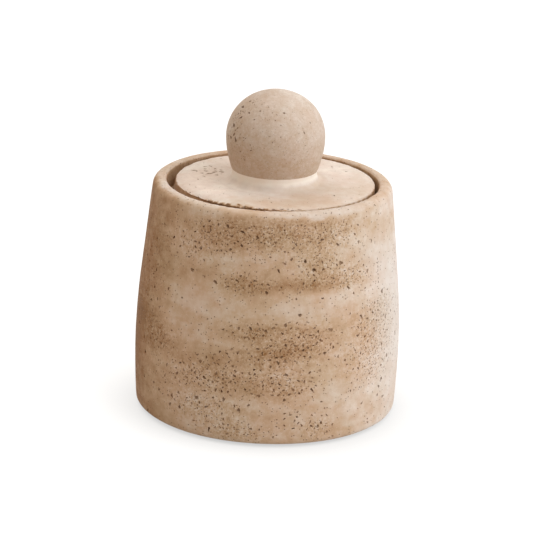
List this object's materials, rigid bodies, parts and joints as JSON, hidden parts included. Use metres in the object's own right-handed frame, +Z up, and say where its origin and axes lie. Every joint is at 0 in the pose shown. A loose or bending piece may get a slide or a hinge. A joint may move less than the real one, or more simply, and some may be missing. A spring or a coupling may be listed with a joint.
{
  "type": "lidded stone jar",
  "caption": "Barrel-sided round stone jar with a loose inset lid lying on a ledge inside the rim, lifted by a ball knob set in a hollow-curved bead.",
  "frame": {"origin": "centre of the plane the foot pads rest on, on the jar's axis", "axes": "+Z up along the jar's axis; the picture looks along +Y from in front and a little above, with +X to its right"},
  "size_m": [0.12, 0.12, 0.1465],
  "materials": {
    "jar_stone": "honed travertine, open pores, soft brown bands",
    "lid_stone": "honed travertine, pale, few open pores",
    "knob_stone": "honed travertine, dense, fine pores",
    "bead_filler": "smooth stone-dust filler",
    "dowel_steel": "plain stainless pin",
    "pad_rubber": "matt soft pad"
  },
  "bodies": {
    "jar": {"jar_body": "jar_stone", "foot_pads": "pad_rubber"},
    "lid": {"lid_plate": "lid_stone", "knob_ball": "knob_stone", "knob_bead": "bead_filler", "knob_dowel": "dowel_steel"}
  },
  "joints": [
    {"name": "lid_lift", "type": "slide", "parent": "jar", "child": "lid", "axis": [0, 0, 1], "range_m": [0, 0.12]}
  ]
}
